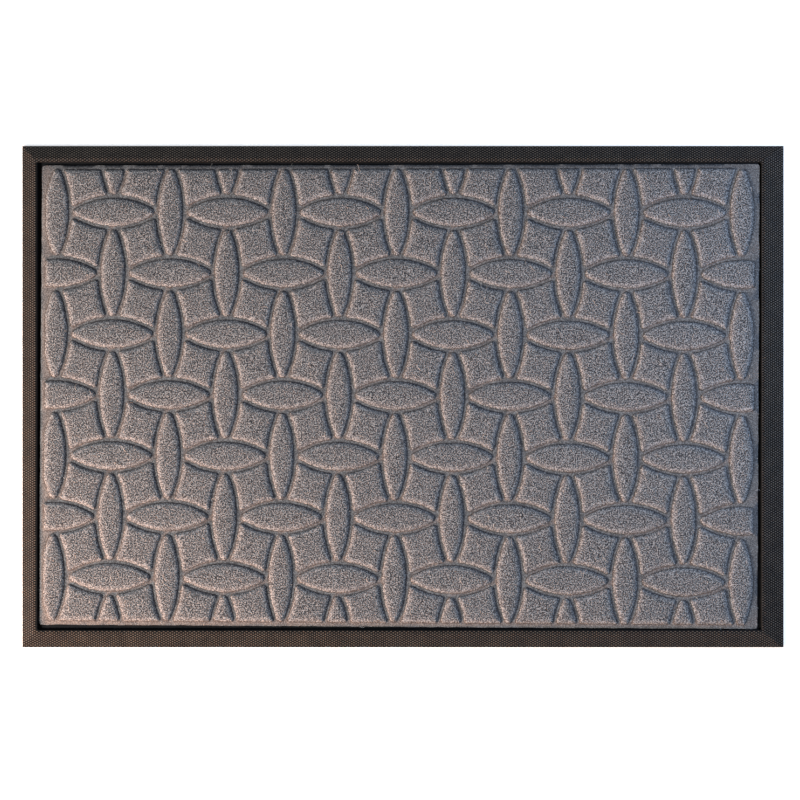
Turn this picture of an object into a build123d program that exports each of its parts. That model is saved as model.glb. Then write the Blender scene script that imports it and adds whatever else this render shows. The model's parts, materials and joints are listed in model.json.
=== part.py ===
from build123d import *
import math
import os

# Door mat: a moulded rubber tray with a bevelled border, and a sheet of hot-pressed
# needle felt bonded into it. Millimetres. +X runs along the mat, +Y across it and +Z
# is up. The origin is on the ground, under the middle of the mat's outline.

# Outline
mat_length = 750.0
mat_width = 494.0

# Border, from the outer edge to the tray's wall. The blank is trimmed off centre.
border_left = 15.5
border_right = 22.5
border_near = 17.5
border_far = 16.5
crest_width = 3.5  # flat strip along the top of the bevel
crest_rounding = 0.7  # where the crest turns down into the tray

# Rubber moulding
edge_thickness = 1.2  # at the foot of the bevel
floor_thickness = 2.0  # under the felt
crest_thickness = 5.8  # from the moulding's underside to the top of the bevel
tray_corner_radius = 1.5

# Grip nubs that the mat stands on
nub_height = 0.8
nub_diameter = 8.0
nub_pitch = 32.0

# Bond between rubber and felt
bond_thickness = 0.3
bond_setback = 4.0  # the bond stops short of the felt's cut edge

# Felt
felt_gap = 2.2  # open channel between the felt's cut edge and the tray's wall
felt_ground_thickness = 2.0  # where the press closes it, in the grooves
pad_height = 3.0  # what the pads stand above the grooves
pad_margin = 4.2  # flat strip between the pads and the felt's cut edge

# Pad pattern: lenses lie along the mat and stand across it, turn and turn about, and
# a four-cornered pad with hollow sides fills the space between each four of them.
pattern_pitch_x = 56.35
pattern_pitch_y = 60.0
lying_lens_length = 85.0
lying_lens_width = 27.3
standing_lens_length = 93.0
standing_lens_width = 23.4
lens_tip_radius = 3.0
groove_width = 3.4
quad_corner_radius = 2.6

# Heights above the ground
moulding_bottom = nub_height
edge_top = moulding_bottom + edge_thickness
floor_top = moulding_bottom + floor_thickness
crest_top = moulding_bottom + crest_thickness
bond_top = floor_top + bond_thickness
ground_top = bond_top + felt_ground_thickness

# Tray and felt, both centred on the tray
tray_length = mat_length - border_left - border_right
tray_width = mat_width - border_near - border_far
tray_centre = ((border_left - border_right) / 2, (border_near - border_far) / 2)
felt_length = tray_length - 2 * felt_gap
felt_width = tray_width - 2 * felt_gap
field_length = felt_length - 2 * pad_margin
field_width = felt_width - 2 * pad_margin

# Whole nubs that fit under the mat, an odd number each way so that one is central
nubs_along = 2 * math.floor((mat_length - nub_pitch) / (2 * nub_pitch)) + 1
nubs_across = 2 * math.floor((mat_width - nub_pitch) / (2 * nub_pitch)) + 1


def lens(length, width):
    """A pointed lens along X: two equal arcs that meet at the tips."""
    with BuildSketch() as outline:
        with BuildLine():
            ThreePointArc((-length / 2, 0), (0, width / 2), (length / 2, 0))
            ThreePointArc((length / 2, 0), (0, -width / 2), (-length / 2, 0))
        make_face()
    return outline.sketch


def rounded(shape, radius):
    """The shape with its corners rounded."""
    with BuildSketch() as outline:
        add(shape)
        fillet(outline.vertices(), radius)
    return outline.sketch


def grown_lens(length, width, margin):
    """The lens whose two arcs stand a margin outside those of the given one."""
    arc_radius = (length**2 + width**2) / (4 * width)
    to_centre = arc_radius - width / 2
    grown_length = 2 * math.sqrt((arc_radius + margin) ** 2 - to_centre**2)
    return lens(grown_length, width + 2 * margin)


def quad():
    """The pad between four lenses, the lying ones at lower left and upper right."""
    lying = grown_lens(lying_lens_length, lying_lens_width, groove_width)
    standing = grown_lens(standing_lens_length, standing_lens_width, groove_width)
    half_x, half_y = pattern_pitch_x / 2, pattern_pitch_y / 2
    with BuildSketch() as pad:
        Rectangle(pattern_pitch_x, pattern_pitch_y)
        with Locations((-half_x, -half_y), (half_x, half_y)):
            add(lying, mode=Mode.SUBTRACT)
        with Locations((half_x, -half_y), (-half_x, half_y)):
            add(standing, rotation=90, mode=Mode.SUBTRACT)
    return rounded(pad.sketch, quad_corner_radius)


def sites(offset, parity):
    """Pattern sites of one parity that reach the pad field. Offset 0 gives the lenses'
    own sites and offset 0.5 the middles of the spaces between four of them."""
    reach_x = math.ceil(field_length / (2 * pattern_pitch_x)) + 1
    reach_y = math.ceil(field_width / (2 * pattern_pitch_y)) + 1
    return [
        ((i + offset) * pattern_pitch_x, (j + offset) * pattern_pitch_y)
        for i in range(-reach_x, reach_x + 1)
        for j in range(-reach_y, reach_y + 1)
        if (i + j) % 2 == parity
    ]


# Rubber base: one moulding with its nubs, floor and bevelled border
with BuildPart() as rubber_base:
    with BuildSketch():
        with GridLocations(nub_pitch, nub_pitch, nubs_along, nubs_across):
            Circle(nub_diameter / 2)
    extrude(amount=nub_height)
    with BuildSketch(Plane.XY.offset(moulding_bottom)):
        Rectangle(mat_length, mat_width)
    extrude(amount=edge_thickness)
    with BuildSketch(Plane.XY.offset(edge_top)):
        Rectangle(mat_length, mat_width)
    with BuildSketch(Plane.XY.offset(crest_top)):
        with Locations(tray_centre):
            Rectangle(tray_length + 2 * crest_width, tray_width + 2 * crest_width)
    loft()
    with BuildSketch(Plane.XY.offset(floor_top)):
        with Locations(tray_centre):
            RectangleRounded(tray_length, tray_width, tray_corner_radius)
    extrude(amount=crest_top - floor_top, mode=Mode.SUBTRACT)
    crest = rubber_base.faces().filter_by(Axis.Z).sort_by(Axis.Z)[-1]
    fillet(crest.inner_wires()[0].edges(), crest_rounding)

# Bond: the film that holds the felt in the tray
with BuildPart() as bond_layer:
    with BuildSketch(Plane.XY.offset(floor_top)):
        with Locations(tray_centre):
            Rectangle(felt_length - 2 * bond_setback, felt_width - 2 * bond_setback)
    extrude(amount=bond_thickness)

# Felt: one pressed sheet, thin in the grooves and thick in the pads
lying_lens = rounded(lens(lying_lens_length, lying_lens_width), lens_tip_radius)
standing_lens = rounded(lens(standing_lens_length, standing_lens_width), lens_tip_radius)
quad_pad = quad()

with BuildPart() as felt_carpet:
    with BuildSketch(Plane.XY.offset(bond_top)):
        with Locations(tray_centre):
            Rectangle(felt_length, felt_width)
    extrude(amount=felt_ground_thickness)
    with BuildSketch(Plane(origin=(*tray_centre, ground_top))):
        with Locations(sites(0, 0)):
            add(lying_lens)
        with Locations(sites(0, 1)):
            add(standing_lens, rotation=90)
        with Locations(sites(0.5, 0)):
            add(quad_pad)
        with Locations(sites(0.5, 1)):
            add(mirror(quad_pad, Plane.YZ, mode=Mode.PRIVATE))
        Rectangle(field_length, field_width, mode=Mode.INTERSECT)
    extrude(amount=pad_height)

rubber_base.part.label = "rubber_base"
bond_layer.part.label = "bond_layer"
felt_carpet.part.label = "felt_carpet"

os.makedirs("parts", exist_ok=True)
export_step(rubber_base.part, "parts/rubber_base.step")
export_step(bond_layer.part, "parts/bond_layer.step")
export_step(felt_carpet.part, "parts/felt_carpet.step")
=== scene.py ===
# %% [markdown]
# # A door mat: felt pressed into a rubber tray
#
# The real mat is two things bonded together. A black rubber moulding makes the bevelled
# border, the shallow tray inside it and the nubs underneath. A sheet of grey needle felt,
# pressed hot so that rounded pads stand up between narrow grooves, lies in that tray.
#
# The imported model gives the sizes. This script makes the surfaces that a solid model
# leaves out: the soft relief of the felt, its tangled fibres, and the fine diamond
# texture on the rubber.

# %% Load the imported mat
import json
import math
import random

import bpy
import numpy as np
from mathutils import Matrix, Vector
from mathutils.geometry import delaunay_2d_cdt

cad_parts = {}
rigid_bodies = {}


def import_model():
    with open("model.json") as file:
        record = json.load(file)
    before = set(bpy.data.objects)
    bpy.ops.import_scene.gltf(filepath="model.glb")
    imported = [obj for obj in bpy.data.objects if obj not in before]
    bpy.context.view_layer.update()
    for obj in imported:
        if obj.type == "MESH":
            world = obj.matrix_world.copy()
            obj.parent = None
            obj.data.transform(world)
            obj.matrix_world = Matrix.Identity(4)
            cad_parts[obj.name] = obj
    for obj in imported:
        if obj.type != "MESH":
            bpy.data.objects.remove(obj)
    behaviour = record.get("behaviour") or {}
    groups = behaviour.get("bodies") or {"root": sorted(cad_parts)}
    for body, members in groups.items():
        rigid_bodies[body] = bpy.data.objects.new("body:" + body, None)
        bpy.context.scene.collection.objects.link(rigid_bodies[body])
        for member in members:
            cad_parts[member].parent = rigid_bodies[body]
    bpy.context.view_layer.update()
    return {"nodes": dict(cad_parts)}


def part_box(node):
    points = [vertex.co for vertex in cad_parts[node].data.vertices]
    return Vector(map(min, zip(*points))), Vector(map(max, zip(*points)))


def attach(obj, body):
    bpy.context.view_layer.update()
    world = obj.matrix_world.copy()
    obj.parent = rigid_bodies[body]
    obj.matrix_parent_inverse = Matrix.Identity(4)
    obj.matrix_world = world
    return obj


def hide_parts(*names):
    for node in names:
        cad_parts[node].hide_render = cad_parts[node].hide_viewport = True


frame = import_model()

MM = 0.001
base_low, base_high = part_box("rubber_base")
felt_low, felt_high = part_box("felt_carpet")

# %% [markdown]
# ## Camera
#
# The mat is looked at from straight above, as a product is on a seller's page. A camera
# close to a flat thing stretches what stands up at its edges, so a long lens is held well
# away: at 2.4 m a border 6 mm high moves by less than one part in four hundred.

# %% Camera
VIEW_WIDTH = 788.9 * MM  # what the picture spans at the mat's height
CAMERA_HEIGHT = 2.4
AIM = Vector((-2.9, -3.3, 0)) * MM  # the mat sits a little right of and above the middle

lens_camera = bpy.data.cameras.new("camera")
lens_camera.sensor_width = 36.0
lens_camera.lens = lens_camera.sensor_width * CAMERA_HEIGHT / VIEW_WIDTH
lens_camera.clip_end = 20.0
camera = bpy.data.objects.new("camera", lens_camera)
camera.location = AIM + Vector((0, 0, CAMERA_HEIGHT))
bpy.context.scene.collection.objects.link(camera)
bpy.context.scene.camera = camera
print("lens", round(lens_camera.lens), "mm")

# %% [markdown]
# ## Light
#
# Felt is soft and matt, so its relief only shows when light comes in from one side. A
# nearly white main lamp stands well beyond the near left corner. Close by, a warm lamp
# sits so low that it hardly reaches the flat tops, but it glows on every slope that faces
# it: the pads' near and left shoulders, and two sides of the bevel. A cool lamp at the
# right keeps that end of the mat from going dark, and turns its greys a little blue. The
# sky is kept dim, because light from all round would wash the relief out.

# %% Lights and sky
def linear(hex_colour):
    """The linear RGB of an sRGB hex colour."""
    channels = [int(hex_colour[i:i + 2], 16) / 255 for i in (1, 3, 5)]
    return [c / 12.92 if c <= 0.04045 else ((c + 0.055) / 1.055) ** 2.4 for c in channels]


def soft_lamp(name, place, aim, side, power, colour):
    lamp = bpy.data.lights.new(name, "AREA")
    lamp.shape = "SQUARE"
    lamp.size = side
    lamp.energy = power
    lamp.color = linear(colour)
    holder = bpy.data.objects.new(name, lamp)
    holder.location = place
    holder.rotation_euler = (Vector(aim) - Vector(place)).to_track_quat("-Z", "Y").to_euler()
    bpy.context.scene.collection.objects.link(holder)


soft_lamp("main_lamp", (-1.7, -0.95, 1.15), (-0.2, 0, 0), 0.4, 72, "#fffdfb")
soft_lamp("low_warm_lamp", (-1.05, -0.9, 0.28), (-0.2, 0, 0), 0.25, 29, "#ffb98c")
soft_lamp("cool_lamp", (0.85, 0.18, 0.62), (0.35, 0, 0), 0.35, 6.2, "#bcd8ff")

sky = bpy.data.worlds.new("sky")
sky.use_nodes = True
sky.node_tree.nodes["Background"].inputs["Color"].default_value = (1, 1, 1, 1)
sky.node_tree.nodes["Background"].inputs["Strength"].default_value = 0.1
bpy.context.scene.world = sky
bpy.context.scene.view_settings.view_transform = "Standard"

# %% [markdown]
# ## Floor
#
# A plain white floor, so that nothing competes with the mat. It is one large flat sheet
# with a little glow of its own, so that it stays white under lamps that are set for dark
# felt. It isn't part of the object.

# %% Small helpers for nodes and meshes
def add(tree, kind, values=None, **settings):
    """Adds a node with its settings. A value that is a node or a socket is linked."""
    made = tree.nodes.new(kind)
    for name, setting in settings.items():
        setattr(made, name, setting)
    for key, value in (values or {}).items():
        socket = made.inputs[key]
        if isinstance(value, bpy.types.Node):
            value = next(o for o in value.outputs if o.enabled)
        if isinstance(value, bpy.types.NodeSocket):
            tree.links.new(value, socket)
        else:
            socket.default_value = value
    return made


def new_material(name):
    """An empty material, its node tree and its main shader."""
    material = bpy.data.materials.new(name)
    material.use_nodes = True
    tree = material.node_tree
    tree.nodes.clear()
    shader = add(tree, "ShaderNodeBsdfPrincipled")
    add(tree, "ShaderNodeOutputMaterial", {"Surface": shader})
    return material, tree, shader


def new_piece(name, points, faces):
    """A mesh object whose place is in its mesh."""
    mesh = bpy.data.meshes.new(name)
    mesh.from_pydata(points, [], faces)
    mesh.update()
    piece = bpy.data.objects.new(name, mesh)
    bpy.context.scene.collection.objects.link(piece)
    return piece


# %% Floor
FLOOR_REACH = 6.0
FLOOR_GLOW = 0.6

floor_paint, tree, shader = new_material("matt_white_paint")
place = add(tree, "ShaderNodeTexCoord")
mottle = add(tree, "ShaderNodeTexNoise", {"Vector": place.outputs["Object"], "Scale": 3.0})
shade = add(tree, "ShaderNodeValToRGB", {"Fac": mottle.outputs["Fac"]})
shade.color_ramp.elements[0].color = (*linear("#f7f7f6"), 1)
shade.color_ramp.elements[1].color = (*linear("#fbfbfa"), 1)
tree.links.new(shade.outputs["Color"], shader.inputs["Base Color"])
shader.inputs["Roughness"].default_value = 0.9
shader.inputs["Specular IOR Level"].default_value = 0.1
shader.inputs["Emission Color"].default_value = (1, 1, 1, 1)
shader.inputs["Emission Strength"].default_value = FLOOR_GLOW

corners = [(x * FLOOR_REACH, y * FLOOR_REACH, 0) for x, y in ((-1, -1), (1, -1), (1, 1), (-1, 1))]
floor = new_piece("floor", corners, [(0, 1, 2, 3)])
floor.data.materials.append(floor_paint)

# %% [markdown]
# ## Needle felt
#
# Needle felt is a mat of crimped plastic fibres, driven through each other by barbed
# needles. To the eye it is a tangle of short pale and dark curls, about a millimetre or
# two long, with no direction. Where the press closed it, in the grooves, the fibres lie
# flat and partly melted together, so the grooves are smoother and more even in colour.
#
# Most of the tangle is plain noise, the speckle of single fibres. Thin winding lines are
# added to it, found where two other noises pass through their middle values. The height
# above the groove floor tells pad from groove. The distance from a pad's outline, which
# every point of the sheet remembers, places two painted marks: painted shade, a dark band
# at the foot of the pad's wall, and a painted highlight, a paler band on its shoulder.

# %% Needle felt material
FIBRE_CURL = 2.4  # mm between neighbouring curls, drawn coarser than a real 0.05 mm fibre
FIBRE_GRAIN = 1.15  # mm, the speckle of single bright and dark fibres
CLUMP = 9.0  # mm, where the needles left it thicker or thinner
THREAD_SHARE = 0.07  # how much the threads add to the grain
PAINTED_SHADE_AT, PAINTED_SHADE_WIDTH = -0.3, 0.85  # mm, painted shade at the foot of a pad's wall
PAINTED_SHADE_SHARE = 0.6  # how far the painted shade goes to its dark colour
PAINTED_HIGHLIGHT_AT, PAINTED_HIGHLIGHT_WIDTH = 2.4, 2.8  # mm, a painted highlight on the shoulder round a pad's top
PAINTED_HIGHLIGHT_SHARE = 0.14  # how far the painted highlight goes to its pale colour
PRESSED_SHADE = 0.6  # how far the groove's floor loses its speckle
GROUND_THICKNESS = 2.0  # mm of pressed felt in the grooves
ground_z = felt_low.z + GROUND_THICKNESS * MM

needle_felt, tree, shader = new_material("needle_felt")
place = add(tree, "ShaderNodeTexCoord")
in_mm = add(
    tree, "ShaderNodeMapping", {"Vector": place.outputs["Object"], "Scale": (1 / MM, 1 / MM, 1 / MM)},
)


def threads(shift, width):
    """Thin winding lines: where a noise passes through its middle value."""
    moved = add(tree, "ShaderNodeVectorMath", {0: in_mm, 1: shift}, operation="ADD")
    noise = add(tree, "ShaderNodeTexNoise", {"Vector": moved, "Scale": 1 / FIBRE_CURL, "Detail": 1.0})
    off = add(tree, "ShaderNodeMath", {0: noise.outputs["Fac"], 1: 0.5}, operation="SUBTRACT")
    away = add(tree, "ShaderNodeMath", {0: off}, operation="ABSOLUTE")
    return add(
        tree, "ShaderNodeMapRange",
        {"Value": away, "From Min": 0.0, "From Max": width, "To Min": 1.0, "To Max": 0.0},
        interpolation_type="SMOOTHSTEP",
    )


pale_threads, dark_gaps = threads((40, 0, 7), 0.05), threads((0, 70, 19), 0.05)
grain = add(
    tree, "ShaderNodeTexNoise",
    {"Vector": in_mm, "Scale": 1 / FIBRE_GRAIN, "Detail": 1.0, "Roughness": 0.6},
)
clumps = add(tree, "ShaderNodeTexNoise", {"Vector": in_mm, "Scale": 1 / CLUMP, "Detail": 2.0})
difference = add(tree, "ShaderNodeMath", {0: pale_threads, 1: dark_gaps}, operation="SUBTRACT")
tangle = add(
    tree, "ShaderNodeMath", {0: difference, 1: THREAD_SHARE, 2: grain.outputs["Fac"]},
    operation="MULTIPLY_ADD",
)
height = add(tree, "ShaderNodeSeparateXYZ", {"Vector": place.outputs["Object"]})
on_pad = add(
    tree, "ShaderNodeMapRange",
    {"Value": height.outputs["Z"], "From Min": ground_z, "From Max": ground_z + 1.0 * MM},
    interpolation_type="SMOOTHSTEP",
)
pad_tangle = add(tree, "ShaderNodeValToRGB", {"Fac": tangle})
ramp = pad_tangle.color_ramp
ramp.elements[0].position, ramp.elements[0].color = 0.37, (*linear("#25272a"), 1)
ramp.elements[1].position, ramp.elements[1].color = 0.63, (*linear("#a5a4a3"), 1)
middle = ramp.elements.new(0.50)
middle.color = (*linear("#5d5d5f"), 1)
pressed = add(tree, "ShaderNodeValToRGB", {"Fac": clumps.outputs["Fac"]})
ramp = pressed.color_ramp
ramp.elements[0].position, ramp.elements[0].color = 0.3, (*linear("#5f5a58"), 1)
ramp.elements[1].position, ramp.elements[1].color = 0.7, (*linear("#736d6a"), 1)
pressed_share = add(tree, "ShaderNodeMapRange", {"Value": on_pad, "To Min": PRESSED_SHADE, "To Max": 0.0})
colour = add(
    tree, "ShaderNodeMix",
    {0: pressed_share, 6: pad_tangle.outputs["Color"], 7: pressed.outputs["Color"]},
    data_type="RGBA",
)


def shaded_at(distance, width, share, under, tint):
    """The colour under, with painted shade or a painted highlight at one distance inside the pads'
    outlines.
    """
    inset_here = add(tree, "ShaderNodeAttribute", attribute_name="inset")
    off = add(tree, "ShaderNodeMath", {0: inset_here.outputs["Fac"], 1: distance}, operation="SUBTRACT")
    away = add(tree, "ShaderNodeMath", {0: off}, operation="ABSOLUTE")
    near = add(
        tree, "ShaderNodeMapRange",
        {"Value": away, "From Min": 0.0, "From Max": width, "To Min": share, "To Max": 0.0},
        interpolation_type="SMOOTHSTEP",
    )
    return add(
        tree, "ShaderNodeMix", {0: near, 6: under.outputs[2], 7: (*linear(tint), 1)}, data_type="RGBA",
    )


# A painted highlight: a paler band on each pad's shoulder, where light from the side falls.
with_painted_highlight = shaded_at(PAINTED_HIGHLIGHT_AT, PAINTED_HIGHLIGHT_WIDTH, PAINTED_HIGHLIGHT_SHARE, colour, "#b4afb0")
# Painted shade: a dark brownish band along the foot of each pad's wall, where shade falls.
with_painted_shade = shaded_at(PAINTED_SHADE_AT, PAINTED_SHADE_WIDTH, PAINTED_SHADE_SHARE, with_painted_highlight, "#2c1a10")
tree.links.new(with_painted_shade.outputs[2], shader.inputs["Base Color"])
relief = add(tree, "ShaderNodeMapRange", {"Value": on_pad, "To Min": 0.6, "To Max": 1.0})
bumps = add(tree, "ShaderNodeMath", {0: tangle, 1: relief}, operation="MULTIPLY")
bump = add(tree, "ShaderNodeBump", {"Height": bumps, "Strength": 0.8, "Distance": 0.9 * MM})
tree.links.new(bump.outputs["Normal"], shader.inputs["Normal"])
shader.inputs["Roughness"].default_value = 0.95
shader.inputs["Specular IOR Level"].default_value = 0.2
shader.inputs["Sheen Weight"].default_value = 0.15
shader.inputs["Sheen Roughness"].default_value = 0.5

# %% [markdown]
# ## Moulded rubber
#
# The base is black rubber, pressed in a steel mould and never polished. Its skin is
# slightly rough and holds dust in patches. The texture's tips are rubbed paler and a
# little smoother by feet, and the hollows between them stay black. An attribute on the
# diamonds, 1 at their tips and 0 at their feet, tells the rubbed part.

# %% Moulded rubber material
DUST_PATCH = 14.0  # mm
SKIN_GRAIN = 0.5  # mm, what the mould's own surface left


def moulded_rubber(name, dark, dusty, roughness):
    """A rubber that varies between two colours, with its node tree and main shader."""
    material, tree, shader = new_material(name)
    place = add(tree, "ShaderNodeTexCoord")
    in_mm = add(
        tree, "ShaderNodeMapping", {"Vector": place.outputs["Object"], "Scale": (1 / MM, 1 / MM, 1 / MM)},
    )
    dust = add(
        tree, "ShaderNodeTexNoise",
        {"Vector": in_mm, "Scale": 1 / DUST_PATCH, "Detail": 5.0, "Roughness": 0.7},
    )
    skin = add(tree, "ShaderNodeTexNoise", {"Vector": in_mm, "Scale": 1 / SKIN_GRAIN, "Detail": 3.0})
    shade = add(tree, "ShaderNodeValToRGB", {"Fac": dust.outputs["Fac"]})
    ramp = shade.color_ramp
    ramp.elements[0].position, ramp.elements[0].color = 0.35, (*linear(dark), 1)
    ramp.elements[1].position, ramp.elements[1].color = 0.75, (*linear(dusty), 1)
    tree.links.new(shade.outputs["Color"], shader.inputs["Base Color"])
    gloss = add(
        tree, "ShaderNodeMapRange",
        {"Value": dust.outputs["Fac"], "To Min": roughness - 0.1, "To Max": roughness + 0.1},
    )
    tree.links.new(gloss.outputs["Result"], shader.inputs["Roughness"])
    bump = add(
        tree, "ShaderNodeBump", {"Height": skin.outputs["Fac"], "Strength": 0.3, "Distance": 0.15 * MM},
    )
    tree.links.new(bump.outputs["Normal"], shader.inputs["Normal"])
    shader.inputs["Specular IOR Level"].default_value = 0.15
    return material, tree, shader


black_rubber, _, _ = moulded_rubber("moulded_black_rubber", "#0e0e0e", "#181717", 0.6)
rubber_tips, tree, shader = moulded_rubber("rubbed_rubber_tips", "#544e49", "#70675d", 0.5)
rubbed = shader.inputs["Base Color"].links[0].from_socket
tip = add(tree, "ShaderNodeAttribute", attribute_name="tip")
worn = add(tree, "ShaderNodeMapRange", {"Value": tip.outputs["Fac"], "From Min": 0.75, "From Max": 1.0})
mixed = add(tree, "ShaderNodeMix", {0: worn, 6: (*linear("#090909"), 1), 7: rubbed}, data_type="RGBA")
tree.links.new(mixed.outputs[2], shader.inputs["Base Color"])

frame["nodes"]["rubber_base"].data.materials.clear()
frame["nodes"]["rubber_base"].data.materials.append(black_rubber)

# %% [markdown]
# ## Bond
#
# The film of adhesive under the felt is thin, greyish and never quite even. It is out of
# sight, and still gets its own finish, because the felt may be lifted off to look.

# %% Bond material
latex_bond, tree, shader = new_material("latex_bond")
place = add(tree, "ShaderNodeTexCoord")
streaks = add(tree, "ShaderNodeTexNoise", {"Vector": place.outputs["Object"], "Scale": 90.0, "Detail": 3.0})
shade = add(tree, "ShaderNodeValToRGB", {"Fac": streaks.outputs["Fac"]})
shade.color_ramp.elements[0].color = (*linear("#5d5a50"), 1)
shade.color_ramp.elements[1].color = (*linear("#8b8778"), 1)
tree.links.new(shade.outputs["Color"], shader.inputs["Base Color"])
shader.inputs["Roughness"].default_value = 0.45
bump = add(
    tree, "ShaderNodeBump", {"Height": streaks.outputs["Fac"], "Strength": 0.3, "Distance": 0.2 * MM},
)
tree.links.new(bump.outputs["Normal"], shader.inputs["Normal"])
frame["nodes"]["bond_layer"].data.materials.clear()
frame["nodes"]["bond_layer"].data.materials.append(latex_bond)

# %% [markdown]
# ## The pad pattern
#
# The press plate carries three shapes. Lenses lie along the mat and stand across it, turn
# and turn about, like the weave of a basket, and a pad with four hollow sides fills each
# space between them. Every side is an arc of a circle, so each outline is worked out from
# a few radii. A lens is where two circles overlap. A hollow-sided pad is what four
# neighbouring lenses leave over once each has been grown by the width of a groove. The
# tips are rounded more than in the solid model, where the lenses are a little shorter.

# %% Pattern sizes, in millimetres
PITCH_X, PITCH_Y = 56.35, 60.0
LYING_LENGTH, LYING_WIDTH = 86.0, 27.3
STANDING_LENGTH, STANDING_WIDTH = 95.0, 23.4
TIP_RADIUS = 3.8
CORNER_RADIUS = 2.6
GROOVE = 3.4
FIELD_MARGIN = 4.2  # plain felt round the pads
NARROWEST_PAD = 3.6  # a narrower scrap of a pad doesn't stand up
STEP = 4.2  # between points along an outline
LEAN_LEFT, LEAN_RIGHT = 0.012, 0.003  # the columns' lean along X for each unit of Y
PULL = 3.0  # mm, how far right of centre the columns were pulled to the left
TWIST = (1.0, -5.5)  # mm, how far the near rows rise at the left and at the right end


def arc(centre, radius, start, end, steps):
    """Points on an arc, both ends included."""
    angles = np.linspace(start, end, steps + 1)
    return [(centre[0] + radius * math.cos(a), centre[1] + radius * math.sin(a)) for a in angles]


def lens_outline(length, width):
    """A lens along X, anticlockwise, with rounded tips."""
    radius = (length**2 + width**2) / (4 * width)
    drop = radius - width / 2
    tip = math.sqrt((radius - TIP_RADIUS) ** 2 - drop**2)
    lean = math.atan2(drop, tip)
    sides = max(8, round(length / STEP))
    upper = arc((0, -drop), radius, lean, math.pi - lean, sides)
    left = arc((-tip, 0), TIP_RADIUS, math.pi - lean, math.pi + lean, 4)[1:-1]
    lower = arc((0, drop), radius, math.pi + lean, 2 * math.pi - lean, sides)
    right = arc((tip, 0), TIP_RADIUS, -lean, lean, 4)[1:-1]
    return upper + left + lower + right


def meet(centre_a, radius_a, centre_b, radius_b, near):
    """Where two circles cross: the crossing that is nearer to a point."""
    a, b = np.array(centre_a), np.array(centre_b)
    apart = np.linalg.norm(b - a)
    along = (radius_a**2 - radius_b**2 + apart**2) / (2 * apart)
    off = math.sqrt(radius_a**2 - along**2)
    unit = (b - a) / apart
    side = np.array((-unit[1], unit[0]))
    crossings = [a + along * unit + way * off * side for way in (-1, 1)]
    return min(crossings, key=lambda p: np.linalg.norm(p - near))


def quad_outline():
    """The pad between four lenses, the lying ones at lower left and upper right."""
    lying_radius = (LYING_LENGTH**2 + LYING_WIDTH**2) / (4 * LYING_WIDTH)
    standing_radius = (STANDING_LENGTH**2 + STANDING_WIDTH**2) / (4 * STANDING_WIDTH)
    lying_drop = lying_radius - LYING_WIDTH / 2
    standing_drop = standing_radius - STANDING_WIDTH / 2
    half_x, half_y = PITCH_X / 2, PITCH_Y / 2
    sides = [  # bottom, right, top, left
        ((-half_x, -half_y - lying_drop), lying_radius + GROOVE),
        ((half_x + standing_drop, -half_y), standing_radius + GROOVE),
        ((half_x, half_y + lying_drop), lying_radius + GROOVE),
        ((-half_x - standing_drop, half_y), standing_radius + GROOVE),
    ]
    corners = []
    for k, near in enumerate(((1, -1), (1, 1), (-1, 1), (-1, -1))):
        (c1, r1), (c2, r2) = sides[k], sides[(k + 1) % 4]
        guess = np.array(near) * (half_x, half_y) * 0.6
        corner = meet(c1, r1 + CORNER_RADIUS, c2, r2 + CORNER_RADIUS, guess)
        towards = [np.array(c) - corner for c in (c1, c2)]
        touch = [corner + to * CORNER_RADIUS / np.linalg.norm(to) for to in towards]
        corners.append((corner, *touch))
    outline = []
    for k in range(4):
        corner, first, second = corners[k]
        start = math.atan2(*(first - corner)[::-1])
        end = math.atan2(*(second - corner)[::-1])
        end += 2 * math.pi if end < start else 0
        outline += arc(corner, CORNER_RADIUS, start, end, 4)
        centre, radius = sides[(k + 1) % 4]
        following = corners[(k + 1) % 4][1]
        start = math.atan2(*(second - np.array(centre))[::-1])
        end = math.atan2(*(following - np.array(centre))[::-1])
        turn = (end - start + math.pi) % (2 * math.pi) - math.pi
        steps = max(3, round(abs(turn) * radius / STEP))
        outline += arc(centre, radius, start, start + turn, steps)[1:-1]
    return outline


LYING = np.array(lens_outline(LYING_LENGTH, LYING_WIDTH))
STANDING = np.array(lens_outline(STANDING_LENGTH, STANDING_WIDTH))[:, ::-1] * (-1, 1)
QUAD = np.array(quad_outline())
QUAD_MIRRORED = (QUAD * (-1, 1))[::-1]


def area_of(outline):
    x, y = np.array(outline).T
    return 0.5 * float(np.sum(x * np.roll(y, -1) - np.roll(x, -1) * y))


shapes = {"lying lens": LYING, "standing lens": STANDING, "quad": QUAD, "mirrored quad": QUAD_MIRRORED}
for name, outline in shapes.items():
    print(name, len(outline), "points", round(area_of(outline)), "mm2")

# %% [markdown]
# ## Cutting the felt and laying the pattern out
#
# The sheet was cut by hand, so its edges are nearly straight and not quite parallel to the
# tray, and the channel round it is wider in some places than in others. The corners of the
# solid model's sheet are moved by a few millimetres to say so.
#
# The pattern starts near the middle of the felt and simply stops at a line close to each
# edge. Pads that cross the line are cut there, and the cut corners are rounded, because
# felt can't hold a sharp one. The sheet was warm and soft when the press closed on it, so
# the rows and columns aren't quite straight: they lean, and are pulled and twisted a
# little, by smooth amounts that differ from one end of the mat to the other.

# %% Cut the felt
CUT_ERROR = ((-1.1, 3.0), (-1.6, -1.4), (0.8, 0.4), (2.1, -0.9))  # mm, near left, anticlockwise
PATTERN_SHIFT = (-1.3, 1.0)  # mm, the pattern's centre from the sheet's

low, high = np.array(felt_low) / MM, np.array(felt_high) / MM
felt_centre = (low + high)[:2] / 2
cut_corners = np.array([
    (low[0], low[1]), (high[0], low[1]), (high[0], high[1]), (low[0], high[1]),
]) + CUT_ERROR
cut_sides = list(zip(cut_corners, np.roll(cut_corners, -1, axis=0)))
print("felt cut", [round(float(np.linalg.norm(b - a)), 1) for a, b in cut_sides], "mm")


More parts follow.
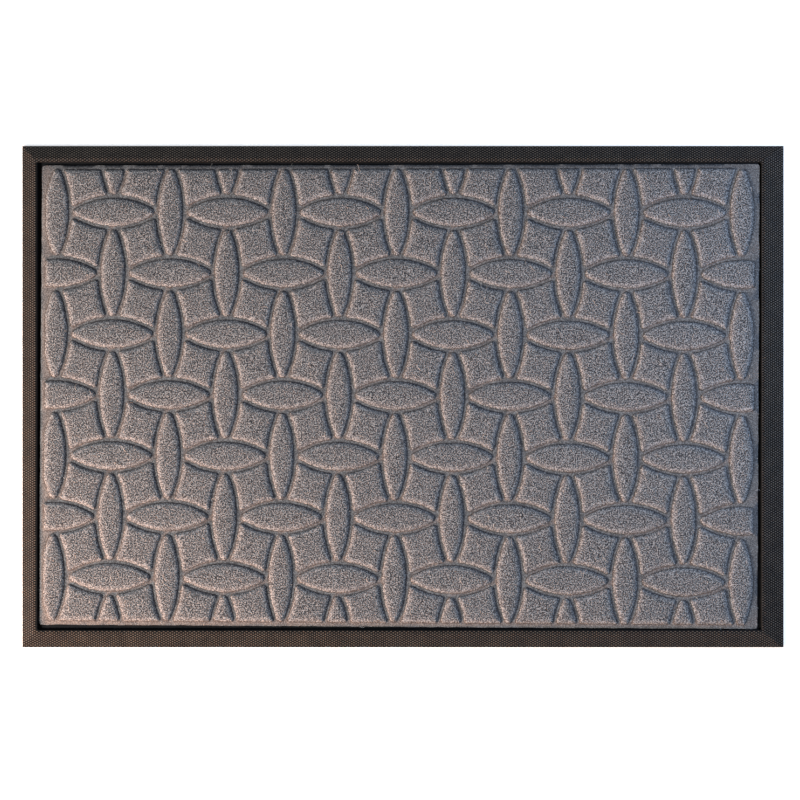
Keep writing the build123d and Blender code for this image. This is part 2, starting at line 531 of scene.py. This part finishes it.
# %% Lay the pads out and trim them
def clip(outline, normal, limit):
    """What is left of an outline on the inner side of a straight line."""
    kept = []
    for p, q in zip(outline, np.roll(outline, -1, axis=0)):
        over_p, over_q = p @ normal - limit, q @ normal - limit
        if over_p <= 0:
            kept.append(p)
        if (over_p <= 0) != (over_q <= 0):
            kept.append(p + (q - p) * over_p / (over_p - over_q))
    return np.array(kept).reshape(-1, 2)


def spaced(outline, least=0.35):
    """The outline without points that are closer together than least."""
    kept = [outline[0]]
    for p in outline[1:]:
        if np.linalg.norm(p - kept[-1]) > least:
            kept.append(p)
    while len(kept) > 1 and np.linalg.norm(kept[0] - kept[-1]) <= least:
        kept.pop()
    return np.array(kept)


def soften(outline, radius=2.6, sharp=math.radians(38)):
    """The outline with a short curve for each sharp corner, and its long straights divided."""
    sides = np.roll(outline, -1, axis=0) - outline
    along = np.concatenate(((0,), np.cumsum(np.linalg.norm(sides, axis=1))))
    heading = np.arctan2(sides[:, 1], sides[:, 0])
    turns = (heading - np.roll(heading, 1) + math.pi) % (2 * math.pi) - math.pi
    corners = [k for k in range(len(outline)) if turns[k] > sharp]
    if not corners:
        return outline
    pairs = zip(corners, corners[1:] + corners[:1])
    gaps = [(along[b] - along[a]) % along[-1] or along[-1] for a, b in pairs]

    def at(distance):
        """The point this far along the outline."""
        closed = np.vstack((outline, outline[:1]))
        return np.array([np.interp(distance % along[-1], along, closed[:, axis]) for axis in (0, 1)])

    made, cuts = [], []
    for n, k in enumerate(corners):
        cut = radius * math.tan(turns[k] / 2)
        cuts.append(min(cut, 0.45 * gaps[n], 0.45 * gaps[n - 1]))
    for n, k in enumerate(corners):
        start, end = at(along[k] - cuts[n]), at(along[k] + cuts[n])
        for t in (0, 0.25, 0.5, 0.75, 1):
            made.append((1 - t) ** 2 * start + 2 * t * (1 - t) * outline[k] + t**2 * end)
        reach = gaps[n] - cuts[n] - cuts[(n + 1) % len(cuts)]
        between = sorted((s - along[k] - cuts[n]) % along[-1] for s in along[:-1])
        stops = [0.0, *(s for s in between if 0.8 < s < reach - 0.8), reach]
        for s, t in zip(stops, stops[1:]):
            parts = max(1, round((t - s) / STEP))
            first = 0 if s else 1  # the curve's end is there already
            made += [at(along[k] + cuts[n] + s + (t - s) * p / parts) for p in range(first, parts)]
    return np.array(made)


def out_of_true(outline):
    """The outline moved as the warm felt was pulled when the press closed on it."""
    x, y = outline.T
    along = np.clip(x / (high - low)[0] + 0.5, 0, 1)
    near = 0.5 - y / (high - low)[1]
    lean = LEAN_LEFT + (LEAN_RIGHT - LEAN_LEFT) * along
    pull = PULL * np.sin(math.pi * along**1.4) ** 2
    rise = near * (TWIST[0] * (1 - along) ** 2 + TWIST[1] * along**2)
    return np.stack((x + lean * y - pull, y + rise), axis=1)


trim_lines = []
for a, b in cut_sides:
    along = (b - a) / np.linalg.norm(b - a)
    normal = np.array((along[1], -along[0]))
    trim_lines.append((normal, a @ normal - FIELD_MARGIN))

pads = []
reach_x = math.ceil((high - low)[0] / 2 / PITCH_X) + 1
reach_y = math.ceil((high - low)[1] / 2 / PITCH_Y) + 1
for i in range(-reach_x, reach_x + 1):
    for j in range(-reach_y, reach_y + 1):
        even = (i + j) % 2 == 0
        for shape, offset in ((LYING if even else STANDING, 0), (QUAD if even else QUAD_MIRRORED, 0.5)):
            outline = shape + np.array(((i + offset) * PITCH_X, (j + offset) * PITCH_Y))
            outline = out_of_true(outline) + felt_centre + PATTERN_SHIFT
            trimmed = outline
            for normal, limit in trim_lines:
                trimmed = clip(trimmed, normal, limit) if len(trimmed) else trimmed
            way_round = np.linalg.norm(trimmed - np.roll(trimmed, -1, axis=0), axis=1).sum()
            if len(trimmed) < 3 or 2 * area_of(trimmed) < NARROWEST_PAD * way_round:
                continue
            if len(trimmed) != len(outline) or not np.allclose(trimmed, outline):
                trimmed = spaced(soften(spaced(trimmed)))
            pads.append(trimmed)
print(len(pads), "pads")

# %% [markdown]
# ## One continuous sheet
#
# The pads aren't stuck on: they are the same sheet as the grooves. So the mesh is one
# surface. Each pad gets a few rings of points that follow its outline, close together
# where the wall is steep, and a looser net of points on its top. The ground between the
# pads is filled with triangles that join the outermost rings, and a rim and a flat back
# close the sheet. It is made flat, and every point remembers how far inside a pad it is.

# %% Rings, nets and ground
RINGS = (-1.2, -0.5, 0.2, 0.9, 1.8, 3.0)  # mm inside the pad's outline
NET = 2.6  # mm between points on top of a pad
EDGE_STEP = 9.0  # mm between points along the cut edge
EDGE_WANDER = 0.28  # mm, how far the knife strayed either way
MARGIN = 5.0  # mm outside the pads, where the sheet counts as cut edge
rng = random.Random(7)


def distance_and_inside(points, outline):
    """Each point's distance to an outline, and whether it is inside."""
    a, b = outline, np.roll(outline, -1, axis=0)
    side, to = b - a, points[:, None] - a
    t = np.clip(np.sum(to * side, axis=2) / np.sum(side * side, axis=1), 0, 1)
    distance = np.linalg.norm(to - t[..., None] * side, axis=2).min(axis=1)
    spans = (a[:, 1] > points[:, 1, None]) != (b[:, 1] > points[:, 1, None])
    rise = np.where(side[:, 1] == 0, 1, side[:, 1])
    crossing = a[:, 0] + (points[:, 1, None] - a[:, 1]) * side[:, 0] / rise
    return distance, (spans & (points[:, 0, None] < crossing)).sum(axis=1) % 2 == 1


def rings_of(outline):
    """Rings of points that follow an outline, squeezed together where the pad is narrow."""
    before, after = outline - np.roll(outline, 1, axis=0), np.roll(outline, -1, axis=0) - outline
    before /= np.linalg.norm(before, axis=1)[:, None]
    after /= np.linalg.norm(after, axis=1)[:, None]
    inward = np.stack((-(before + after)[:, 1], (before + after)[:, 0]), axis=1)
    inward /= np.linalg.norm(inward, axis=1)[:, None]
    straight = np.sum(inward * np.stack((-after[:, 1], after[:, 0]), axis=1), axis=1)
    inward /= np.clip(straight, 0.75, 1)[:, None]
    room = np.full(len(outline), RINGS[-1])
    for inset in np.arange(RINGS[-1], 0.2, -0.1):
        distance, within = distance_and_inside(outline + inward * inset, outline)
        room[~within | (distance < 0.985 * inset)] = inset - 0.1
    room = np.min([np.roll(room, step) for step in (-1, 0, 1)], axis=0)
    squeeze = np.where(room < RINGS[-1], 0.8 * room / RINGS[-1], 1.0)
    sides = np.roll(outline, -1, axis=0) - outline
    for _ in range(10):  # where two neighbours would cross over, both stay nearer the outline
        top = outline + inward * (RINGS[-1] * squeeze)[:, None]
        kept = np.sum((np.roll(top, -1, axis=0) - top) * sides, axis=1) / np.sum(sides**2, axis=1)
        squeeze[(kept < 0.15) | (np.roll(kept, 1) < 0.15)] *= 0.85
    insets = [np.full(len(outline), ring) * (squeeze if ring > 0 else 1.0) for ring in RINGS]
    return [(outline + inward * inset[:, None], inset) for inset in insets]


flat, inset_of, pad_of, faces = [], [], [], []


def put(points, insets, pad):
    """Adds points to the flat sheet and gives their numbers."""
    first = len(flat)
    flat.extend((float(x), float(y)) for x, y in points)
    inset_of.extend(float(i) for i in insets)
    pad_of.extend([pad] * len(points))
    return list(range(first, len(flat)))


outer_rings = []
for number, outline in enumerate(pads):
    rings = [put(*ring, number) for ring in rings_of(outline)]
    outer_rings.append(rings[0])
    for outside, inside in zip(rings, rings[1:]):
        for k in range(len(outside)):
            following = (k + 1) % len(outside)
            faces.append((outside[k], outside[following], inside[following], inside[k]))
    top = np.array([flat[k] for k in rings[-1]])
    columns = np.arange(top[:, 0].min(), top[:, 0].max(), NET)
    rows = np.arange(top[:, 1].min(), top[:, 1].max(), NET * math.sqrt(3) / 2)
    net = np.array([
        (x + NET / 2 * (r % 2) + rng.uniform(-0.5, 0.5), y + rng.uniform(-0.5, 0.5))
        for r, y in enumerate(rows) for x in columns
    ]).reshape(-1, 2)
    away, within = distance_and_inside(net, top)
    net = net[within & (away > 0.45 * NET)]
    inner = rings[-1] + put(net, distance_and_inside(net, outline)[0] if len(net) else [], number)
    loop = list(range(len(top)))
    coordinates = [Vector(flat[k]) for k in inner]
    _, _, triangles, originals, _, _ = delaunay_2d_cdt(coordinates, [], [loop], 1, 1e-4)
    faces += [tuple(inner[originals[k][0]] for k in triangle) for triangle in triangles]
print(len(flat), "points on the pads")

# %% The cut edge, and the ground between the pads
edge_points = []
for a, b in cut_sides:
    steps = round(float(np.linalg.norm(b - a)) / EDGE_STEP)
    across = np.array((b - a)[::-1]) * (1, -1) / np.linalg.norm(b - a)
    for k in range(steps):
        wander = rng.uniform(-EDGE_WANDER, EDGE_WANDER) if k else 0.0
        edge_points.append(a + (b - a) * k / steps + across * wander)
edge_points = soften(np.array(edge_points), radius=3.0)
edge = put(edge_points, [-MARGIN] * len(edge_points), -1)

loops, numbers = [], []
for loop in [edge, *outer_rings]:
    loops.append(list(range(len(numbers), len(numbers) + len(loop))))
    numbers += loop
coordinates = [Vector(flat[k]) for k in numbers]
_, _, triangles, originals, _, inside_of = delaunay_2d_cdt(coordinates, [], loops, 1, 1e-4)
ground = [t for t, within in zip(triangles, inside_of) if list(within) == [0]]
faces += [tuple(numbers[originals[k][0]] for k in triangle) for triangle in ground]
print(len(ground), "triangles of ground,", len(faces), "faces on top")

# %% Close the sheet
points = [(x * MM, y * MM, ground_z) for x, y in flat]
back = list(range(len(points), len(points) + len(edge)))
points += [(flat[k][0] * MM, flat[k][1] * MM, felt_low.z) for k in edge]
for k in range(len(edge)):
    following = (k + 1) % len(edge)
    faces.append((edge[following], edge[k], back[k], back[following]))
faces.append(tuple(reversed(back)))
felt_sheet = new_piece("felt_sheet", points, faces)

for name, values in (
    ("inset", inset_of + [-MARGIN] * len(back)),
    ("pad", pad_of + [-1] * len(back)),
    ("upper", [1.0] * len(flat) + [0.0] * len(back)),
):
    attribute = felt_sheet.data.attributes.new(name, "FLOAT", "POINT")
    attribute.data.foreach_set("value", np.array(values, np.float32))

# %% [markdown]
# ## Pressing the relief
#
# Now the sheet is pressed, with Geometry Nodes, because the height follows one rule. A
# curve turns the distance inside a pad into height: it climbs steeply at the wall and
# rolls over slowly at the top, which gives the pillowed look. Each pad is then pressed a
# little more or less than the next, the margin slopes down to the cut edge, and noise
# makes the surface as uneven as real felt.

# %% Helpers for geometry nodes
def new_tree(name, sockets):
    """A geometry node tree with a geometry input, named inputs and a geometry output."""
    tree = bpy.data.node_groups.new(name, "GeometryNodeTree")
    for label, kind in [("Geometry", "NodeSocketGeometry"), *sockets]:
        tree.interface.new_socket(label, in_out="INPUT", socket_type=kind)
    tree.interface.new_socket("Geometry", in_out="OUTPUT", socket_type="NodeSocketGeometry")
    return tree, add(tree, "NodeGroupInput").outputs


def grow(piece, tree, values):
    """Runs a tree on a piece with the given inputs and keeps the result as its plain mesh."""
    modifier = piece.modifiers.new(tree.name, "NODES")
    modifier.node_group = tree
    sockets = [item for item in tree.interface.items_tree if item.in_out == "INPUT"]
    names = {item.name: item.identifier for item in sockets}
    for label, value in values.items():
        modifier[names[label]] = value
    view = bpy.context.evaluated_depsgraph_get()
    mesh = bpy.data.meshes.new_from_object(piece.evaluated_get(view), depsgraph=view)
    piece.modifiers.clear()
    piece.data = mesh
    print(piece.name, len(mesh.polygons), "faces")
    return piece


def named(tree, name, kind="FLOAT"):
    return add(tree, "GeometryNodeInputNamedAttribute", {"Name": name}, data_type=kind)


def maths(tree, operation, *values):
    return add(tree, "ShaderNodeMath", dict(enumerate(values)), operation=operation)


# %% Press the felt
ROLLED_OVER = 11.0  # mm inside the outline where a pad has reached its full height
WALL_AND_SHOULDER = (  # mm inside the outline, and the share of the full height there
    (-0.5, 0.05), (0.2, 0.27), (0.9, 0.49), (1.8, 0.68), (3.0, 0.83), (4.5, 0.92),
)

press, given = new_tree("press_relief", [
    ("Pad Height", "NodeSocketFloat"), ("Edge Drop", "NodeSocketFloat"),
    ("Pad Unevenness", "NodeSocketFloat"), ("Lump Height", "NodeSocketFloat"),
    ("Lump Size", "NodeSocketFloat"), ("Seed", "NodeSocketInt"), ("Material", "NodeSocketMaterial"),
])
inset = named(press, "inset").outputs["Attribute"]
climb = add(press, "ShaderNodeMapRange", {"Value": inset, "From Min": RINGS[0], "From Max": ROLLED_OVER})
profile = add(press, "ShaderNodeFloatCurve", {"Value": climb})
for distance, share in WALL_AND_SHOULDER:
    profile.mapping.curves[0].points.new((distance - RINGS[0]) / (ROLLED_OVER - RINGS[0]), share)
profile.mapping.update()
uneven = add(
    press, "FunctionNodeRandomValue",
    {"Min": 0.0, "Max": 1.0, "ID": named(press, "pad").outputs["Attribute"], "Seed": given["Seed"]},
)
pressed_by = maths(press, "MULTIPLY", uneven.outputs[1], given["Pad Unevenness"])
tall = maths(press, "SUBTRACT", given["Pad Height"], pressed_by)
dropped = maths(press, "MULTIPLY", given["Edge Drop"], -1.0)
slope = add(
    press, "ShaderNodeMapRange",
    {"Value": inset, "From Min": -MARGIN, "From Max": RINGS[0], "To Min": dropped, "To Max": 0.0},
)
rise = maths(press, "MULTIPLY_ADD", profile, tall, slope)
lumps = add(
    press, "ShaderNodeTexNoise",
    {"Vector": add(press, "GeometryNodeInputPosition"),
     "Scale": maths(press, "DIVIDE", 1.0, given["Lump Size"]), "Detail": 1.0, "W": given["Seed"]},
    noise_dimensions="4D",
)
centred = add(
    press, "ShaderNodeVectorMath", {0: lumps.outputs["Color"], 1: (0.5, 0.5, 0.5)}, operation="SUBTRACT",
)
push = add(press, "ShaderNodeVectorMath", {0: centred, 3: given["Lump Height"]}, operation="SCALE")
lift = add(press, "ShaderNodeCombineXYZ", {"Z": rise})
move = add(press, "ShaderNodeVectorMath", {0: push, 1: lift}, operation="ADD")
upper = named(press, "upper").outputs["Attribute"]
upper_only = add(press, "ShaderNodeVectorMath", {0: move, 3: upper}, operation="SCALE")
raised = add(press, "GeometryNodeSetPosition", {"Geometry": given["Geometry"], "Offset": upper_only})
whole = add(press, "GeometryNodeRealizeInstances", {"Geometry": raised})
finished = add(press, "GeometryNodeSetMaterial", {"Geometry": whole, "Material": given["Material"]})
add(press, "NodeGroupOutput", {"Geometry": finished})

grow(felt_sheet, press, {
    "Pad Height": felt_high.z - ground_z + 0.2 * MM, "Edge Drop": 0.9 * MM, "Pad Unevenness": 0.25 * MM,
    "Lump Height": 0.8 * MM, "Lump Size": 7 * MM, "Seed": 3, "Material": needle_felt,
})
felt_sheet.data.shade_smooth()
felt_sheet.data.set_sharp_from_angle(angle=math.radians(75))

# %% [markdown]
# ## Loose fibres
#
# No felt lies quite flat: single pale fibres have worked loose and lie on top as small
# curls. A handful of curls is drawn once, each a thin three-sided tube, and Geometry Nodes
# scatters turned and scaled copies of them over the level parts of the felt.

# %% A handful of curled fibres
FIBRE_RADIUS = 0.11 * MM  # thicker than a real one, which would be too fine to see
FIBRE_STEP = 1.1 * MM
FIBRE_STEPS = 6
FIBRE_SIDES = 3
FIBRE_LIFT = 0.2 * MM

fibre_shapes = bpy.data.collections.new("fibre_shapes")
for number in range(6):
    heading, bend, spot = 0.0, rng.uniform(-0.5, 0.5), Vector((0, 0, FIBRE_LIFT))
    points, faces = [], []
    for step in range(FIBRE_STEPS + 1):
        side = Vector((-math.sin(heading), math.cos(heading), 0))
        for k in range(FIBRE_SIDES):
            angle = 2 * math.pi * k / FIBRE_SIDES
            outward = side * math.cos(angle) + Vector((0, 0, math.sin(angle)))
            points.append(spot + FIBRE_RADIUS * outward)
        if step:
            near, far = len(points) - 2 * FIBRE_SIDES, len(points) - FIBRE_SIDES
            for k in range(FIBRE_SIDES):
                following = (k + 1) % FIBRE_SIDES
                faces.append((near + following, near + k, far + k, far + following))
        bend += rng.uniform(-0.35, 0.35)
        heading += bend
        onward = Vector((math.cos(heading), math.sin(heading), rng.uniform(-0.1, 0.1)))
        spot = spot + FIBRE_STEP * onward
    faces += [(0, 1, 2), (len(points) - 1, len(points) - 2, len(points) - 3)]
    shape = new_piece("fibre", points, faces)
    bpy.context.scene.collection.objects.unlink(shape)
    fibre_shapes.objects.link(shape)

# %% Scatter them
loose_fibre, tree, shader = new_material("loose_fibre")
place = add(tree, "ShaderNodeTexCoord")
dye = add(tree, "ShaderNodeTexNoise", {"Vector": place.outputs["Object"], "Scale": 220.0, "Detail": 1.0})
shade = add(tree, "ShaderNodeValToRGB", {"Fac": dye.outputs["Fac"]})
ramp = shade.color_ramp
ramp.elements[0].position, ramp.elements[0].color = 0.35, (*linear("#8f8c8b"), 1)
ramp.elements[1].position, ramp.elements[1].color = 0.65, (*linear("#cfcac5"), 1)
tree.links.new(shade.outputs["Color"], shader.inputs["Base Color"])
shader.inputs["Roughness"].default_value = 0.6
shader.inputs["Specular IOR Level"].default_value = 0.3

scatter, given = new_tree("scatter_fibres", [
    ("Shapes", "NodeSocketCollection"), ("Per Square Metre", "NodeSocketFloat"),
    ("Seed", "NodeSocketInt"), ("Material", "NodeSocketMaterial"),
])
facing = add(scatter, "ShaderNodeSeparateXYZ", {"Vector": add(scatter, "GeometryNodeInputNormal")})
level = maths(scatter, "GREATER_THAN", facing.outputs["Z"], 0.8)
off_edge = maths(scatter, "GREATER_THAN", named(scatter, "inset").outputs["Attribute"], -1.5)
on_top = maths(scatter, "MULTIPLY", level, off_edge)
spots = add(
    scatter, "GeometryNodeDistributePointsOnFaces",
    {"Mesh": given["Geometry"], "Selection": on_top, "Density": given["Per Square Metre"],
     "Seed": given["Seed"]},
)
picked = add(
    scatter, "GeometryNodeCollectionInfo",
    {"Collection": given["Shapes"], "Separate Children": True, "Reset Children": True},
)
spin = add(scatter, "FunctionNodeRandomValue", {"Min": 0.0, "Max": 2 * math.pi, "Seed": given["Seed"]})
about_z = add(scatter, "ShaderNodeCombineXYZ", {"Z": spin.outputs[1]})
around = add(scatter, "FunctionNodeEulerToRotation", {0: about_z})
turned = add(
    scatter, "FunctionNodeRotateRotation",
    {"Rotation": spots.outputs["Rotation"], "Rotate By": around}, rotation_space="LOCAL",
)
size = add(scatter, "FunctionNodeRandomValue", {2: 0.7, 3: 1.3, "Seed": 11})  # 2 and 3: min and max
laid = add(
    scatter, "GeometryNodeInstanceOnPoints",
    {"Points": spots.outputs["Points"], "Instance": picked, "Pick Instance": True, "Rotation": turned,
     "Scale": size.outputs[1]},
)
whole = add(scatter, "GeometryNodeRealizeInstances", {"Geometry": laid})
finished = add(scatter, "GeometryNodeSetMaterial", {"Geometry": whole, "Material": given["Material"]})
add(scatter, "NodeGroupOutput", {"Geometry": finished})

loose_fibres = bpy.data.objects.new("loose_fibres", felt_sheet.data.copy())
bpy.context.scene.collection.objects.link(loose_fibres)
grow(loose_fibres, scatter, {
    "Shapes": fibre_shapes, "Per Square Metre": 5000.0, "Seed": 5, "Material": loose_fibre,
})
for shape in list(fibre_shapes.objects):
    bpy.data.objects.remove(shape)
bpy.data.collections.remove(fibre_shapes)

# %% [markdown]
# ## Diamond texture
#
# The border's grip is a fine crossed texture: rows of low four-sided pyramids, about
# 4.3 mm long and 2.5 mm wide, staggered so that their edges run in two diagonal
# directions. Thousands of the same small shape on a surface is a job for Geometry Nodes:
# a staggered lattice of points is dropped onto the rubber by a ray, and each one gets a
# pyramid turned to stand square on the bevel. Those that overhang the trimmed outer edge
# or the tray are pushed back, as if a knife had cut them.

# %% Diamond lattice on the border
DIAMOND_LONG, DIAMOND_WIDE = 4.3 * MM, 2.46 * MM
DIAMOND_HEIGHT = 0.34 * MM
DIAMOND_SUNK = 0.08 * MM  # so that its foot is inside the rubber
TIP_SHARE = 0.42  # the flat tip's size
FOOT_SHARE = 0.97  # the foot's size, so that no two feet touch
INNER_ROOM = 0.1  # of half a diamond, from its middle to the tray
DROP = 10 * MM  # how far above the border the lattice starts

rubber = frame["nodes"]["rubber_base"]
rubber_points = np.array([v.co for v in rubber.data.vertices])
crest = rubber_points[rubber_points[:, 2] > base_high.z - 0.01 * MM][:, :2]
crest_low, crest_high = crest.min(0) + 0.1 * MM, crest.max(0) - 0.1 * MM
inner = crest[np.all((crest > crest_low) & (crest < crest_high), axis=1)]
tray_low, tray_high = inner.min(0), inner.max(0)
print("tray", (tray_high - tray_low) / MM, "mm")

room = np.array((DIAMOND_LONG, DIAMOND_WIDE)) / 2
lattice = []
for row in range(math.ceil((base_high.y - base_low.y) / DIAMOND_WIDE * 2)):
    y = base_low.y + row * DIAMOND_WIDE / 2
    for column in range(math.ceil((base_high.x - base_low.x) / DIAMOND_LONG)):
        x = base_low.x + (column + row % 2 / 2) * DIAMOND_LONG
        spot = np.array((x, y))
        if np.any(spot < tray_low - room * INNER_ROOM) or np.any(spot > tray_high + room * INNER_ROOM):
            lattice.append((x, y, base_high.z + DROP))
border_texture = new_piece("border_texture", lattice, [])

base_ring = [(DIAMOND_LONG / 2, 0), (0, DIAMOND_WIDE / 2), (-DIAMOND_LONG / 2, 0), (0, -DIAMOND_WIDE / 2)]
diamond = new_piece(
    "diamond",
    [(x * FOOT_SHARE, y * FOOT_SHARE, -DIAMOND_SUNK) for x, y in base_ring]
    + [(x * TIP_SHARE, y * TIP_SHARE, DIAMOND_HEIGHT) for x, y in base_ring],
    [(3, 2, 1, 0), (4, 5, 6, 7)] + [(k, (k + 1) % 4, (k + 1) % 4 + 4, k + 4) for k in range(4)],
)
tip_values = diamond.data.attributes.new("tip", "FLOAT", "POINT")
tip_values.data.foreach_set("value", [0.0] * 4 + [1.0] * 4)

# %% Drop the diamonds onto the rubber
knurl, given = new_tree("diamond_texture", [
    ("Surface", "NodeSocketObject"), ("Diamond", "NodeSocketObject"),
    ("Lowest Corner", "NodeSocketVector"), ("Highest Corner", "NodeSocketVector"),
    ("Material", "NodeSocketMaterial"),
])
surface = add(knurl, "GeometryNodeObjectInfo", {"Object": given["Surface"]})
shape = add(knurl, "GeometryNodeObjectInfo", {"Object": given["Diamond"]})
ray = add(
    knurl, "GeometryNodeRaycast",
    {"Target Geometry": surface.outputs["Geometry"],
     "Source Position": add(knurl, "GeometryNodeInputPosition"),
     "Ray Direction": (0, 0, -1), "Ray Length": 1.0},
)
upright = add(knurl, "GeometryNodeCaptureAttribute", {"Geometry": given["Geometry"]})
upright.capture_items.new("VECTOR", "normal")
knurl.links.new(ray.outputs["Hit Normal"], upright.inputs[1])
landed = add(
    knurl, "GeometryNodeSetPosition",
    {"Geometry": upright.outputs["Geometry"], "Selection": ray.outputs["Is Hit"],
     "Position": ray.outputs["Hit Position"]},
)
turn = add(knurl, "FunctionNodeAlignRotationToVector", {"Vector": upright.outputs[1]}, axis="Z")
stood = add(
    knurl, "GeometryNodeInstanceOnPoints",
    {"Points": landed, "Selection": ray.outputs["Is Hit"], "Instance": shape.outputs["Geometry"],
     "Rotation": turn},
)
whole = add(knurl, "GeometryNodeRealizeInstances", {"Geometry": stood})
place = add(knurl, "GeometryNodeInputPosition")
held_in = add(knurl, "ShaderNodeVectorMath", {0: place, 1: given["Lowest Corner"]}, operation="MAXIMUM")
cut_back = add(knurl, "ShaderNodeVectorMath", {0: held_in, 1: given["Highest Corner"]}, operation="MINIMUM")
cut = add(knurl, "GeometryNodeSetPosition", {"Geometry": whole, "Position": cut_back})
finished = add(knurl, "GeometryNodeSetMaterial", {"Geometry": cut, "Material": given["Material"]})
add(knurl, "NodeGroupOutput", {"Geometry": finished})

grow(border_texture, knurl, {
    "Surface": rubber, "Diamond": diamond, "Lowest Corner": (base_low.x, base_low.y, 0.0),
    "Highest Corner": (base_high.x, base_high.y, 1.0), "Material": rubber_tips,
})
bpy.data.objects.remove(diamond)

# %% Cut the diamonds back at the tray's wall
corners_cut = 0
for vertex in border_texture.data.vertices:
    spot = np.array(vertex.co)[:2]
    depth = np.concatenate((spot - tray_low, tray_high - spot))
    if depth.min() > 0:
        side = int(depth.argmin())
        vertex.co[side % 2] = (*tray_low, *tray_high)[side]
        corners_cut += 1
print(corners_cut, "corners cut back")

# %% Attach the new pieces to the mat's body, and hide the solid model's felt
for piece, slot in ((felt_sheet, "felt"), (loose_fibres, "felt"), (border_texture, "rubber")):
    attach(piece, "root")
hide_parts("felt_carpet")
